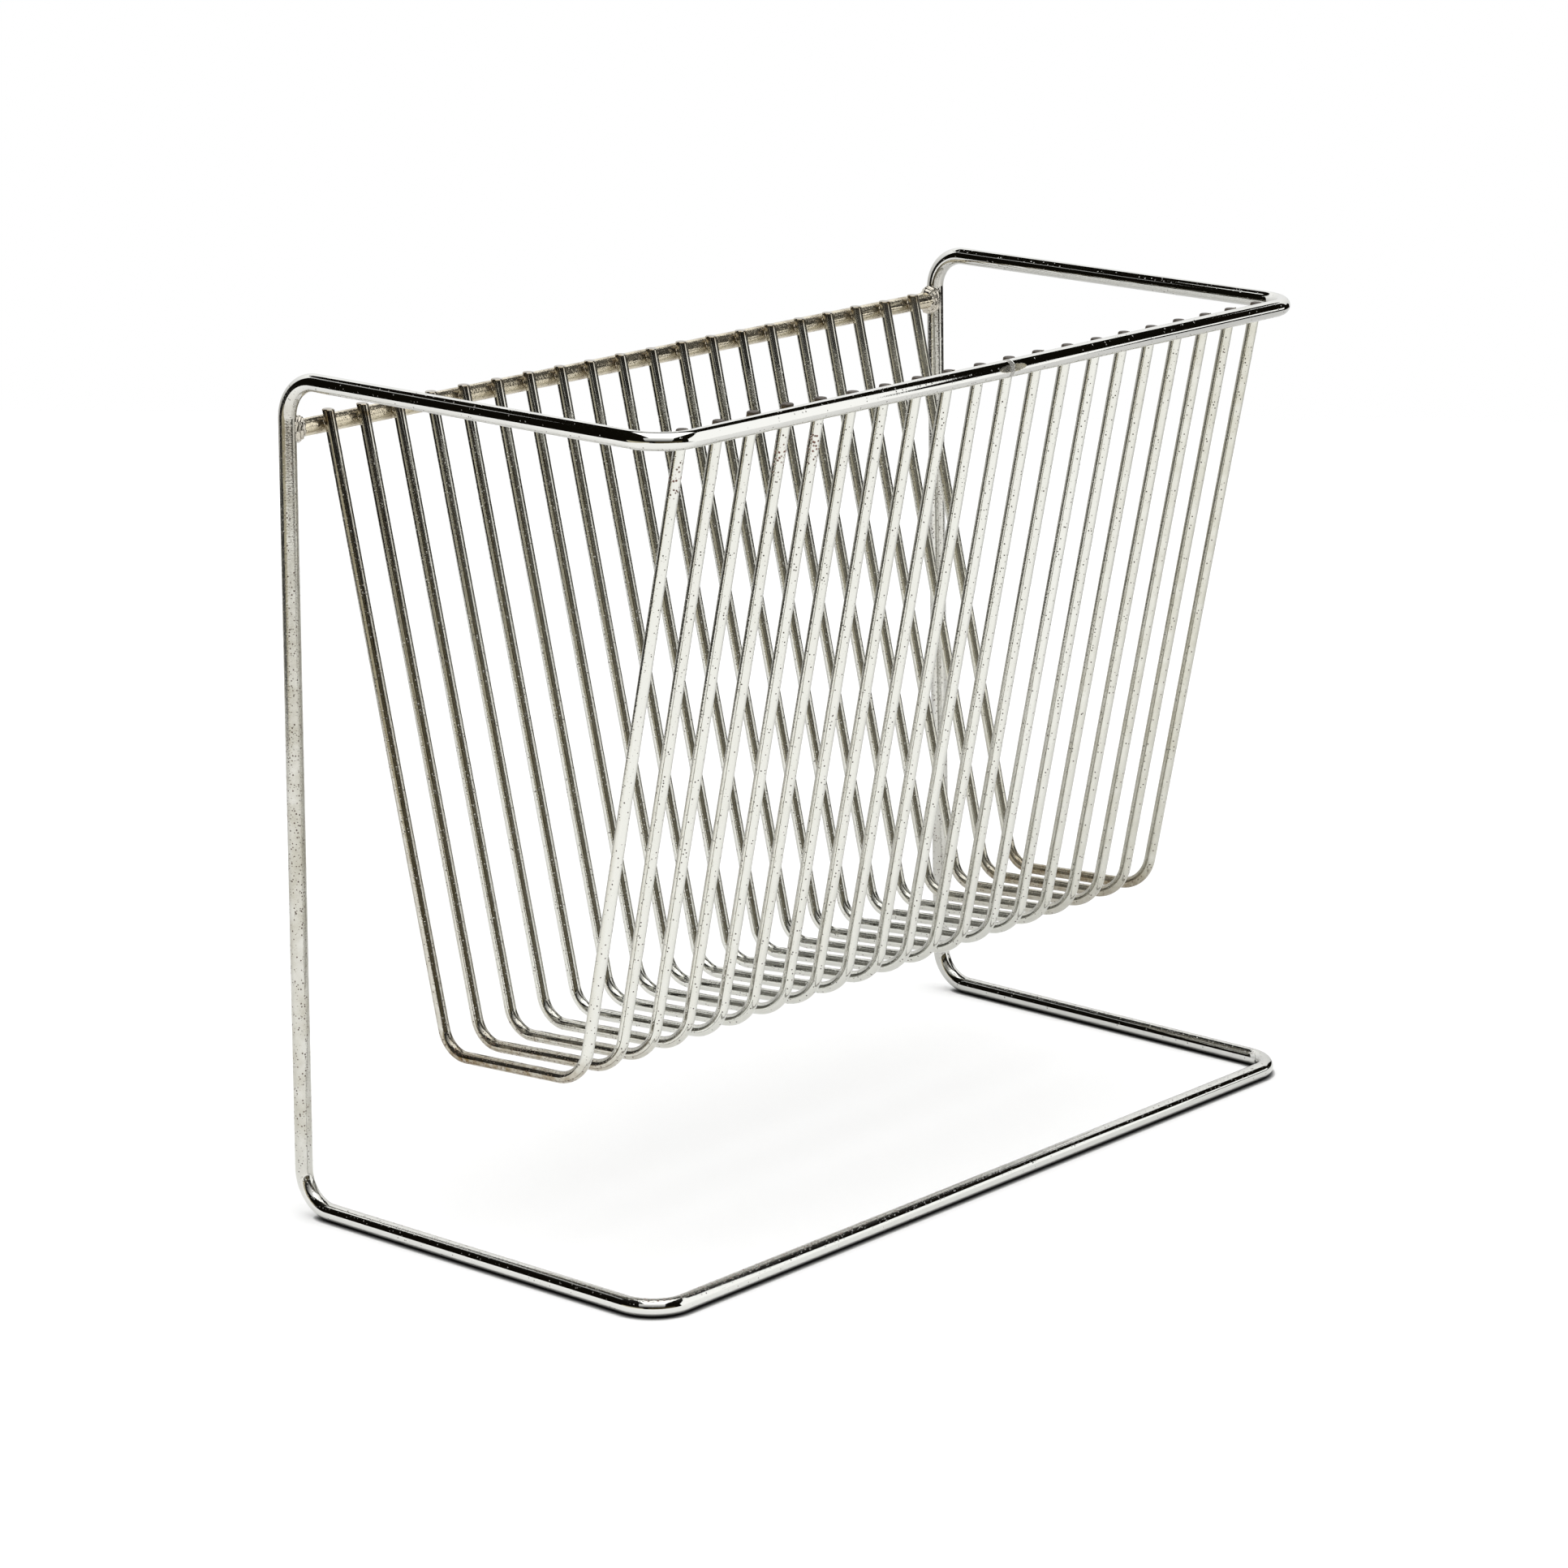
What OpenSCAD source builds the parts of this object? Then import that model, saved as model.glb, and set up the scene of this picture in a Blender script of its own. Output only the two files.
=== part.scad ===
// Wire magazine rack. One bent rod makes the base, the uprights and the top.
// A back rail joins the uprights. A row of bent wires hangs from it and from the front rail as the basket.
// Millimetres. +X runs along the rails, +Y to the back, +Z up. The origin is on the floor, under the middle.
// Heights, depths and distances run from rod centre to rod centre, unless a comment says otherwise.

/* [Rod and wire] */
// Diameter of the rod of the frame and the back rail
rod_d = 6; // [5:0.5:8]
// Diameter of a basket wire
wire_d = 4; // [3:0.25:5]

/* [Frame] */
// Height of the top above the base
frame_h = 280; // [230:5:340]
// Depth of the top, from the uprights to the front rail
top_depth = 162; // [150:1:210]
// Depth of the base, from the uprights to the front rail
base_depth = 157; // [140:1:210]
// Distance that the uprights lean back on their way up
upright_lean = 6; // [0:0.5:15]
// Distance that each upright stands out at the base, past its place at the top
base_spread = 3.5; // [0:0.5:12]
// Bend radius of the frame rod at its centre line
frame_bend_r = 13; // [9:0.5:20]
// Width of the weld that closes the frame rod
butt_weld_w = 2; // [1:0.25:4]
// Place of that weld on the front rail, to the right of the middle
butt_weld_x = 2; // [-40:0.5:40]
// Length of the hollow that the file left over that weld
file_l = 14; // [10:0.5:24]
// Depth of that hollow
file_depth = 0.3; // [0.15:0.05:0.5]
// Angle at which the hollow faces up, from straight ahead
file_tilt = 25; // [-40:5:60]

/* [Back rail] */
// Straight upright between the top bend and the back rail's upper side
rail_clear = 1; // [0.5:0.5:30]
// Gap between the back rail's ends and the uprights, filled by the welds
rail_root_gap = 0.5; // [0.3:0.1:1]
// Radius of the weld bead round each end of the back rail
rail_bead_r = 1.6; // [1:0.1:2.2]

/* [Basket] */
// Number of wires
wire_count = 20; // [10:1:24]
// Distance between neighbouring wires
wire_pitch = 16; // [10:0.5:22]
// Straight front rail between the left bend and the first wire
left_run = 2; // [2:0.5:20]
// Straight front rail between the last wire and the right bend
right_run = 4; // [2:0.5:20]
// Height of the basket floor's back corner above the base
floor_h = 59; // [30:1:100]
// Rise of the basket floor from its back corner to its front corner
floor_rise = 4; // [0:0.5:10]
// Distance from the uprights to the basket floor's back corner
floor_setback = 55.5; // [35:0.5:65]
// Depth of the basket floor between its corners
floor_depth = 61; // [45:1:75]
// Bend radius of a wire at the back of the floor
back_bend_r = 10; // [6:0.5:14]
// Bend radius of a wire at the front of the floor
front_bend_r = 14; // [6:0.5:16]
// Length of a wire past the back rail's centre, to the middle of its level end
back_tip = 3; // [2:0.25:9]
// Length of a wire past the front rail's centre, to the middle of its level end
front_tip = 1.5; // [1:0.25:6]
// Depth of the saddle that a rail presses into a wire
weld_set = 0.4; // [0.2:0.05:0.6]
// Size of the weld round each crossing of a wire and a rail
wire_weld_leg = 0.7; // [0.5:0.1:1]

/* [Hidden] */
$fn = 48;

rod_r = rod_d / 2;
wire_r = wire_d / 2;

// Loss of diameter in a bend, and length of each end of the bend inside its straight run.
bend_thinning = 0.02;
bend_tuck = 0.25;

base_z = rod_r;
top_z = base_z + frame_h;
// The middle lies halfway between the base's front rail and the top's back corners.
reach = base_depth + upright_lean;
top_back_y = reach / 2;
top_front_y = top_back_y - top_depth;
base_back_y = top_back_y - upright_lean;
base_front_y = base_back_y - base_depth;

row_w = (wire_count - 1) * wire_pitch;
top_w = row_w + left_run + right_run + 2 * frame_bend_r;
base_w = top_w + 2 * base_spread;
first_wire_x = frame_bend_r + left_run - top_w / 2;

function unit(v) = v / norm(v);

// Corners of the frame rod's centre line. side is -1 for the left and 1 for the right.
function top_front(side) = [side * top_w / 2, top_front_y, top_z];
function top_back(side) = [side * top_w / 2, top_back_y, top_z];
function base_back(side) = [side * base_w / 2, base_back_y, base_z];
function base_front(side) = [side * base_w / 2, base_front_y, base_z];

// Place on an upright's centre line at height z.
function upright_at(side, z) =
    base_back(side) + (z - base_z) / frame_h * (top_back(side) - base_back(side));

// Length of straight rod that a bend of radius r takes up on each side of corner c, between points a and b.
function bend_turn(a, c, b) = acos(unit(c - a) * unit(b - c));
function bend_cut(a, c, b, r) = r * tan(bend_turn(a, c, b) / 2);

// Ring at the rail's edge that the weld's plug leaves to the bead.
rail_chamfer = 0.3;
rail_drop = bend_cut(base_back(1), top_back(1), top_front(1), frame_bend_r) + rail_clear + rod_r;
rail_z = top_z - rail_drop;
rail_y = upright_at(1, rail_z)[1];
rail_end_x = upright_at(1, rail_z)[0] - rod_r - rail_root_gap;

// The file's hollow is part of a large round with many sides, which leaves a long oval on the rod.
file_sides = 960;
file_r = (pow(file_l / 2, 2) + pow(file_depth, 2)) / (2 * file_depth);
file_way = [0, -cos(file_tilt), sin(file_tilt)];
file_axis = cross([1, 0, 0], file_way);
file_centre = [butt_weld_x, top_front_y, top_z] + (rod_r - file_depth + file_r) * file_way;

// The frame rod runs from the right side of the butt weld once round the rack to its left side.
frame_path = [
    [butt_weld_x + butt_weld_w / 2, top_front_y, top_z],
    top_front(1), top_back(1), base_back(1), base_front(1),
    base_front(-1), base_back(-1), top_back(-1), top_front(-1),
    [butt_weld_x - butt_weld_w / 2, top_front_y, top_z]
];

// Corners of the basket floor, and centres of the two rails, as [y, z].
floor_back = [top_back_y - floor_setback, base_z + floor_h];
floor_front = floor_back + [-floor_depth, floor_rise];
back_rail_yz = [rail_y, rail_z];
front_rail_yz = [top_front_y, top_z];
seat_distance = rod_r + wire_r - weld_set;

// A leg rises from a floor corner and passes the rail's centre at the seat distance.
// side is 1 where the rail lies behind the leg, and -1 where it lies in front.
function leg_angle(corner, rail, side) =
    atan2(rail[1] - corner[1], rail[0] - corner[0]) + side * asin(seat_distance / norm(rail - corner));
function leg_length(corner, rail, tip) = sqrt(pow(norm(rail - corner), 2) - pow(seat_distance, 2)) + tip;
function leg_end(corner, rail, side, tip) =
    corner + leg_length(corner, rail, tip)
    * [cos(leg_angle(corner, rail, side)), sin(leg_angle(corner, rail, side))];

back_end = leg_end(floor_back, back_rail_yz, 1, back_tip);
front_end = leg_end(floor_front, front_rail_yz, -1, front_tip);

// A wire is bent from a longer piece, and its ends are then cut level.
back_stock = leg_end(floor_back, back_rail_yz, 1, back_tip + wire_r);
front_stock = leg_end(floor_front, front_rail_yz, -1, front_tip + wire_r);

function wire_x(i) = first_wire_x + (i - 1) * wire_pitch;
function wire_path(i) =
    [for (p = [back_stock, floor_back, floor_front, front_stock]) [wire_x(i), p[0], p[1]]];
function wire_name(i) = str("basket_wire_", i < 10 ? "0" : "", i);

bright_chrome = [0.80, 0.81, 0.82];
dull_chrome = [0.66, 0.64, 0.60];
wire_chrome = [0.72, 0.71, 0.68];
weld_steel = [0.55, 0.52, 0.48];

// Moves a shape's origin to o, its X axis to x and its Z axis to z.
module placed(o, x, z) {
    y = cross(z, x);
    multmatrix([
        [x[0], y[0], z[0], o[0]],
        [x[1], y[1], z[1], o[1]],
        [x[2], y[2], z[2], o[2]],
        [0, 0, 0, 1]
    ]) children();
}

// Straight round bar from a to b.
module bar(a, b, d) {
    z = unit(b - a);
    level = abs(z[2]) < 0.5 ? [0, 0, 1] : [0, 1, 0];
    placed(a, unit(cross(level, z)), z) cylinder(h = norm(b - a), d = d);
}

// Directions of a path's runs, and axes of its bends.
function run_way(path, i) = unit(path[i] - path[i - 1]);
function bend_axis(path, i) = unit(cross(run_way(path, i), run_way(path, i + 1)));
// Angle about a run from the axis of the bend before it to the axis of the bend after it.
function run_roll(path, i) =
    let (before = bend_axis(path, i - 1), after = bend_axis(path, i))
    atan2(cross(before, after) * run_way(path, i), before * after);

// Round bend that starts at the origin along Z and turns towards +X.
// Bending stretches the rod a little thinner, so its ends sit inside the straight runs.
module bend(turn, r, d) {
    tuck = bend_tuck / r * 180 / PI;
    translate([r, 0, 0]) rotate([90, 0, 180]) rotate([0, 0, -tuck])
        rotate_extrude(angle = turn + 2 * tuck) translate([r, 0]) circle(d = d - bend_thinning);
}

// Run i of a bent bar along Z from the origin, with all that follows it.
module bent_run(path, radii, d, i) {
    last = len(path) - 1;
    cut_before = i == 1 ? 0 : bend_cut(path[i - 2], path[i - 1], path[i], radii[i - 2]);
    cut_after = i == last ? 0 : bend_cut(path[i - 1], path[i], path[i + 1], radii[i - 1]);
    run = norm(path[i] - path[i - 1]) - cut_before - cut_after;
    cylinder(h = run, d = d);
    if (i < last) {
        r = radii[i - 1];
        turn = bend_turn(path[i - 1], path[i], path[i + 1]);
        roll = i + 1 < last ? run_roll(path, i + 1) : 0;
        translate([0, 0, run]) {
            bend(turn, r, d);
            translate([r, 0, 0]) rotate([0, turn, 0]) translate([-r, 0, 0])
                rotate([0, 0, roll]) bent_run(path, radii, d, i + 1);
        }
    }
}

// Bar bent to the given radii at the inner points of a path.
module bent_bar(path, radii, d) {
    way = run_way(path, 1);
    placed(path[0], cross(bend_axis(path, 1), way), way) bent_run(path, radii, d, 1);
}

// The two rails that carry the wires, as plain bars of any diameter.
module back_rail_bar(d) {
    bar([-rail_end_x, rail_y, rail_z], [rail_end_x, rail_y, rail_z], d);
}

module front_rail_bar(d) {
    bar(top_front(-1), top_front(1), d);
}

// Metal that the file took off the front of the butt weld and of the rod on both sides of it.
module filed_off() {
    bar(file_centre - rod_d * file_axis, file_centre + rod_d * file_axis, 2 * file_r, $fn = file_sides);
}

// Waste above the level end of wire i, where end is [y, z].
module cut_off(i, end) {
    translate([wire_x(i), end[0], end[1] + wire_d]) cube(2 * wire_d, center = true);
}

module frame_rod() {
    color(bright_chrome) difference() {
        bent_bar(frame_path, [for (i = [1 : len(frame_path) - 2]) frame_bend_r], rod_d);
        filed_off();
    }
}

// Weld metal between the rod's two ends: the filed front rail, between the ends only.
module frame_butt_weld() {
    color(weld_steel) intersection() {
        difference() {
            front_rail_bar(rod_d);
            filed_off();
        }
        translate([butt_weld_x, top_front_y, top_z]) cube([butt_weld_w, 2 * rod_d, 2 * rod_d], center = true);
    }
}

module back_rail() {
    color(dull_chrome) back_rail_bar(rod_d);
}

// Bead round one end of the back rail, with the plug that fills the gap to the upright.
module back_rail_weld(side) {
    plug_d = rod_d - 2 * rail_chamfer;
    end = [side * rail_end_x, rail_y, rail_z];
    axis_end = [upright_at(side, rail_z)[0], rail_y, rail_z];
    color(weld_steel) difference() {
        union() {
            placed(end, [0, 0, 1], [side, 0, 0])
                rotate_extrude() translate([rod_r, 0]) circle(r = rail_bead_r);
            bar(end, axis_end, plug_d);
        }
        bar(base_back(side), top_back(side), rod_d);
        back_rail_bar(rod_d);
    }
}

module back_rail_weld_left() {
    back_rail_weld(-1);
}

module back_rail_weld_right() {
    back_rail_weld(1);
}

module basket_wire(i) {
    color(wire_chrome) difference() {
        bent_bar(wire_path(i), [back_bend_r, front_bend_r], wire_d);
        back_rail_bar(rod_d);
        front_rail_bar(rod_d);
        cut_off(i, back_end);
        cut_off(i, front_end);
    }
}

// Welds of a row of legs on their rail: what the enlarged leg and the enlarged rail share, outside both.
module back_wire_welds() {
    color(weld_steel) for (i = [1 : wire_count]) {
        path = wire_path(i);
        difference() {
            intersection() {
                bar(path[1], path[0], wire_d + 2 * wire_weld_leg);
                back_rail_bar(rod_d + 2 * wire_weld_leg);
            }
            bar(path[1], path[0], wire_d);
            back_rail_bar(rod_d);
            cut_off(i, back_end);
        }
    }
}

module front_wire_welds() {
    color(weld_steel) for (i = [1 : wire_count]) {
        path = wire_path(i);
        difference() {
            intersection() {
                bar(path[2], path[3], wire_d + 2 * wire_weld_leg);
                front_rail_bar(rod_d + 2 * wire_weld_leg);
            }
            bar(path[2], path[3], wire_d);
            front_rail_bar(rod_d);
            cut_off(i, front_end);
        }
    }
}

frame_rod();
frame_butt_weld();
back_rail();
back_rail_weld_left();
back_rail_weld_right();
for (i = [1 : wire_count]) basket_wire(i);
back_wire_welds();
front_wire_welds();
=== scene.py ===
"""Looks of the wire magazine rack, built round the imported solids.

Smooth bent bars, hand-made welds, worn chrome and the studio are made by one operator each.
Metres, in the same frame as the solids: +X along the rails, +Y to the back, +Z up.
"""

import math
import random

import bpy
from bpy.props import FloatProperty, FloatVectorProperty, IntProperty, PointerProperty
from mathutils import Matrix, Vector


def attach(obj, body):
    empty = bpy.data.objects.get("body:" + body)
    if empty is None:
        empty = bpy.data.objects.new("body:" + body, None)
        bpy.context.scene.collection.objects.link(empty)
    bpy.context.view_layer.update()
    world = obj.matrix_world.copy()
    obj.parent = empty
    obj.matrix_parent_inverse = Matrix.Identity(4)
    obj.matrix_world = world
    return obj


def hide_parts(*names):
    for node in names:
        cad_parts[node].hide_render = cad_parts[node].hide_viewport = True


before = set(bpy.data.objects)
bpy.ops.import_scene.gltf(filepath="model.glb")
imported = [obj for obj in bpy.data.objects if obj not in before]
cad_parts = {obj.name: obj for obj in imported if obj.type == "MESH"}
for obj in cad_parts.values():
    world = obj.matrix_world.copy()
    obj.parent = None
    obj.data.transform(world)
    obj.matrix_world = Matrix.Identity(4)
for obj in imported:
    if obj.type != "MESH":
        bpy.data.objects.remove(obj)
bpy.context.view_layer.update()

bl_info = {
    "name": "Wire magazine rack",
    "version": (1, 0, 0),
    "blender": (4, 5, 0),
    "location": "View3D > Sidebar > Rack",
    "description": "Builds the bent rod, wires, welds, finishes and studio of a wire magazine rack",
    "category": "Object",
}

MM = 0.001
LEFT, RIGHT = -1, 1
ALONG = Vector((1, 0, 0))
UP = Vector((0, 0, 1))
# Level directions of the studio: away from the camera, and to its right.
AWAY = Vector((0.766, 0.643, 0))
SIDE = Vector((0.643, -0.766, 0))
WHITE = "#FFFFFF"

# Fineness of the meshes: sides of a bar, length of a step along a run, steps in a bend.
ROD_SIDES, BAR_SIDES = 72, 40
RUN_STEP, RAIL_STEP, WELD_STEP = 4 * MM, 2 * MM, 0.5 * MM
FRAME_BEND_STEPS, WIRE_BEND_STEPS = 28, 16
# Angle between faces, in degrees, above which an edge is sharp.
BAR_EDGE, WELD_EDGE = 20, 60


def clamped(value):
    """A value held between 0 and 1."""
    return min(max(value, 0.0), 1.0)


def fade(distance, reach):
    """1 at no distance, falling evenly to 0 at the reach."""
    return max(0.0, 1 - distance / reach)


# Properties


def length(name, description, default_mm):
    """A length property. Its default is given in millimetres."""
    return FloatProperty(
        name=name,
        description=description,
        default=default_mm * MM,
        min=0.0,
        unit="LENGTH",
        subtype="DISTANCE",
    )


def linear(code):
    """Linear colour of an sRGB hex code."""
    parts = [int(code[k : k + 2], 16) / 255 for k in (1, 3, 5)]
    return tuple(c / 12.92 if c <= 0.04045 else ((c + 0.055) / 1.055) ** 2.4 for c in parts) + (1.0,)


def tint(name, description, code):
    """A colour property. Its default is given as an sRGB hex code."""
    return FloatVectorProperty(
        name=name, description=description, default=linear(code), size=4, min=0.0, max=1.0, subtype="COLOR"
    )


class RackSizes(bpy.types.PropertyGroup):
    """Sizes of the rack's bars, from centre line to centre line."""

    rod_d: length("Rod", "Diameter of the frame rod and the back rail", 6)
    wire_d: length("Wire", "Diameter of a basket wire", 4)
    frame_h: length("Height", "Height of the top above the base", 280)
    top_w: length("Top width", "Width between the side runs of the top", 336)
    base_spread: length("Base spread", "Distance that each upright stands out at the base", 3.5)
    top_depth: length("Top depth", "Depth of the top", 162)
    base_depth: length("Base depth", "Depth of the base", 157)
    lean: length("Lean", "Distance that the uprights lean back on their way up", 6)
    frame_bend: length("Frame bend", "Bend radius of the frame rod", 13)
    rail_drop: length("Rail drop", "Drop of the back rail below the top", 17.28)
    rail_gap: length("Rail gap", "Gap between the back rail's ends and the uprights", 0.5)
    weld_w: length("Butt weld", "Width of the weld that closes the frame rod", 2)
    weld_x: length("Butt weld place", "Place of that weld, to the right of the middle", 2)
    weld_pull: length("Weld pull", "Distance that the butt weld pushes the front rail out", 0.3)
    pull_w: length("Pull width", "Length of front rail that bends on each side of that weld", 60)
    file_l: length("File length", "Length of the hollow that the file left over the butt weld", 14)
    file_depth: length("File depth", "Depth of that hollow", 0.3)
    file_tilt: FloatProperty(
        name="File tilt",
        description="Angle at which the hollow faces up, from straight ahead",
        default=math.radians(12),
        subtype="ANGLE",
    )
    wire_count: IntProperty(name="Wires", description="Number of basket wires", default=20, min=1)
    wire_pitch: length("Pitch", "Distance between neighbouring wires", 16)
    row_shift: FloatProperty(
        name="Row shift",
        description="Place of the row's middle, to the right of the rack's middle",
        default=-1 * MM,
        unit="LENGTH",
        subtype="DISTANCE",
    )
    floor_h: length("Floor height", "Height of the basket floor's back corner above the base", 59)
    floor_rise: length("Floor rise", "Rise of the basket floor to the front", 4)
    floor_setback: length("Setback", "Distance from the uprights to the floor's back corner", 55.5)
    floor_depth: length("Floor depth", "Depth of the basket floor", 61)
    back_bend: length("Back bend", "Bend radius of a wire at the back of the floor", 10)
    front_bend: length("Front bend", "Bend radius of a wire at the front of the floor", 14)
    back_tip: length("Back tip", "Length of a wire past the back rail, to its level end", 3)
    front_tip: length("Front tip", "Length of a wire past the front rail, to its level end", 1.5)
    weld_set: length("Weld set", "Depth of the saddle that a rail presses into a wire", 0.4)
    front_bow: length("Front bow", "Distance that the middle wires stand to the right at the front", 2.5)
    back_bow: length("Back bow", "Distance that wires right of the middle stand to the left at the back", 2)


class RackColors(bpy.types.PropertyGroup):
    """Colours of the plating, by slot, and of its damage."""

    chromed_rod: tint("Rod", "Chrome on the frame rod", "#C8C8C4")
    chromed_rail: tint("Rail", "Chrome on the back rail", "#CDC6B4")
    chromed_wire: tint("Wire", "Chrome on the basket wires", "#C7C7C1")
    weld_bead: tint("Weld beads", "Chrome on the weld beads", "#C8C4BA")
    filed_weld: tint("Filed weld", "Chrome on the filed weld", "#B4B3AE")
    browned: tint("Browned", "Chrome that was browned by heat or grime", "#6E5C3A")
    bare: tint("Bare", "Steel where the chrome is broken or burnt off", "#382B1B")
    rust: tint("Rust", "Rust in the larger pits", "#6E3417")


class RackStage(bpy.types.PropertyGroup):
    """Camera and light of the studio."""

    camera_at: FloatVectorProperty(
        name="Camera",
        description="Place of the camera",
        default=(-1.38254, -1.14762, 0.61105),
        unit="LENGTH",
        subtype="TRANSLATION",
    )
    camera_look: FloatVectorProperty(
        name="Look",
        description="Direction in which the camera looks",
        default=(0.740119, 0.620330, -0.259642),
        subtype="DIRECTION",
    )
    camera_right: FloatVectorProperty(
        name="Right",
        description="Direction of the image's right side",
        default=(0.643972, -0.765008, 0.007928),
        subtype="DIRECTION",
    )
    lens_mm: FloatProperty(
        name="Lens", description="Focal length in millimetres", default=124.14, unit="CAMERA"
    )
    fill: FloatProperty(
        name="Fill", description="Strength of the soft light from above", default=1.18, min=0.0
    )
    dark: FloatProperty(
        name="Dark", description="Brightness of the dark studio in mirrors", default=0.008, min=0.0
    )


# Lines of the bars


def frame_corners(s):
    """Corners of the frame rod's centre line, by name and side."""
    reach = s.base_depth + s.lean
    base_z = s.rod_d / 2
    top_z = base_z + s.frame_h
    back = reach / 2
    corners = {}
    for side in (LEFT, RIGHT):
        top_x = side * s.top_w / 2
        base_x = top_x + side * s.base_spread
        corners["top_front", side] = Vector((top_x, back - s.top_depth, top_z))
        corners["top_back", side] = Vector((top_x, back, top_z))
        corners["base_back", side] = Vector((base_x, back - s.lean, base_z))
        corners["base_front", side] = Vector((base_x, back - s.lean - s.base_depth, base_z))
    return corners


def rail_centre(s, side):
    """Place where the back rail's centre line meets an upright's."""
    corners = frame_corners(s)
    top, base = corners["top_back", side], corners["base_back", side]
    return top + (base - top) * (s.rail_drop / s.frame_h)


# How far the maker's hand was off, in millimetres: a wire's place on the front rail, on the back rail and
# at the floor's front corner, and the cut of its back and front tips.
FRONT_SLIP, BACK_SLIP, FLOOR_SLIP, BACK_CUT, FRONT_CUT = 0.4, 0.3, 0.6, 0.15, 0.1


def wire_points(s, i):
    """Back end, floor corners and front end of wire i, and the middles of its two welds.

    The wires were set by hand, so each row bows and each wire is a little off its place. On the front rail
    the row bows to the right in the middle, on the back rail to the left, most of all right of the middle.
    """
    corners = frame_corners(s)
    rng = random.Random(60 + i)
    x = s.row_shift + (i - (s.wire_count + 1) / 2) * s.wire_pitch
    across = 2 * i / (s.wire_count + 1) - 1
    front_bow = 1 - 1.8 * across**2
    back_bow = max(0.0, 1 - ((across - 0.33) / 0.76) ** 2)
    front_x = x + s.front_bow * front_bow + rng.uniform(-FRONT_SLIP, FRONT_SLIP) * MM
    back_x = x - s.back_bow * back_bow + rng.uniform(-BACK_SLIP, BACK_SLIP) * MM
    # The first wires were cut longer at the back, and wires 3 and 4 at the front.
    long_back = 1.4 * math.exp(-(i - 1) / 3)
    long_front = 0.9 * math.exp(-(((i - 3.5) / 1.8) ** 2))
    back_tip = s.back_tip + (long_back + rng.uniform(-BACK_CUT, BACK_CUT)) * MM
    front_tip = s.front_tip + (long_front + rng.uniform(-FRONT_CUT, FRONT_CUT)) * MM
    seat = (s.rod_d + s.wire_d) / 2 - s.weld_set
    back_y = corners["top_back", LEFT].y - s.floor_setback
    floor_z = corners["base_back", LEFT].z + s.floor_h
    floor_x = front_x + rng.uniform(-FLOOR_SLIP, FLOOR_SLIP) * MM
    floor_back = Vector((back_x, back_y, floor_z))
    floor_front = Vector((floor_x, back_y - s.floor_depth, floor_z + s.floor_rise))

    def leg(corner, rail, x, turn, tip):
        """End of a leg that passes the rail's centre at the seat distance, and the place where it passes."""
        rail = Vector((x, rail.y, rail.z))
        away = Vector((0, rail.y - corner.y, rail.z - corner.z))
        way = Matrix.Rotation(turn * math.asin(seat / away.length), 3, "X") @ away.normalized()
        passes = Vector((x, corner.y, corner.z)) + way * math.sqrt(away.length**2 - seat**2)
        return passes + way * tip, passes, rail

    back_end, back_pass, back_rail = leg(floor_back, rail_centre(s, LEFT), back_x, 1, back_tip)
    front_end, front_pass, front_rail = leg(floor_front, corners["top_front", LEFT], front_x, -1, front_tip)
    welds = {"back": (back_pass, back_rail), "front": (front_pass, front_rail)}
    return [back_end, floor_back, floor_front, front_end], welds


def bent_line(path, radii, run_step, bend_steps):
    """Points along straight runs joined by round bends."""
    points = [path[0].copy()]

    def run_to(end):
        """Adds a straight run in even steps."""
        start = points[-1].copy()
        steps = max(1, round((end - start).length / run_step))
        points.extend(start.lerp(end, k / steps) for k in range(1, steps + 1))

    for before, corner, after, radius in zip(path, path[1:], path[2:], radii):
        way_in = (corner - before).normalized()
        way_out = (after - corner).normalized()
        turn = way_in.angle(way_out)
        begin = corner - way_in * radius * math.tan(turn / 2)
        run_to(begin)
        inward = (way_out - way_in * way_in.dot(way_out)).normalized()
        centre = begin + inward * radius
        for k in range(1, bend_steps + 1):
            a = turn * k / bend_steps
            points.append(centre - inward * radius * math.cos(a) + way_in * radius * math.sin(a))
    run_to(path[-1])
    return points


def pulled(s, place):
    """Place on the front rail after the butt weld has pushed it out to the front."""
    near = fade(abs(place.x - s.weld_x), s.pull_w)
    return place - Vector((0, s.weld_pull * near, 0))


def file_way(s):
    """Direction in which the filed hollow faces."""
    return Vector((0, -math.cos(s.file_tilt), math.sin(s.file_tilt)))


def filed(s, place):
    """Metal that the file takes off at a place on the front rail, as a step inwards."""
    off = place.x - s.weld_x
    way = file_way(s)
    rail = pulled(s, frame_corners(s)["top_front", LEFT] * Vector((0, 1, 1)) + Vector((place.x, 0, 0)))
    round_r = ((s.file_l / 2) ** 2 + s.file_depth**2) / (2 * s.file_depth)
    limit = s.rod_d / 2 - s.file_depth + off**2 / (2 * round_r)
    return way * min(0.0, limit - (place - rail).dot(way)) if abs(off) < s.file_l / 2 else Vector()


# Meshes


def mesh_piece(name, verts, faces, attributes, sharp_deg):
    """A smooth-shaded object with sharp edges where faces meet steeply.

    Attributes are vectors on its vertices.
    """
    mesh = bpy.data.meshes.new(name)
    mesh.from_pydata(verts, [], faces)
    mesh.validate()
    for key, values in attributes.items():
        layer = mesh.attributes.new(key, "FLOAT_VECTOR", "POINT")
        layer.data.foreach_set("vector", [c for v in values for c in v])
    mesh.shade_smooth()
    mesh.set_sharp_from_angle(angle=math.radians(sharp_deg))
    piece = bpy.data.objects.new(name, mesh)
    bpy.context.scene.collection.objects.link(piece)
    return piece


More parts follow.
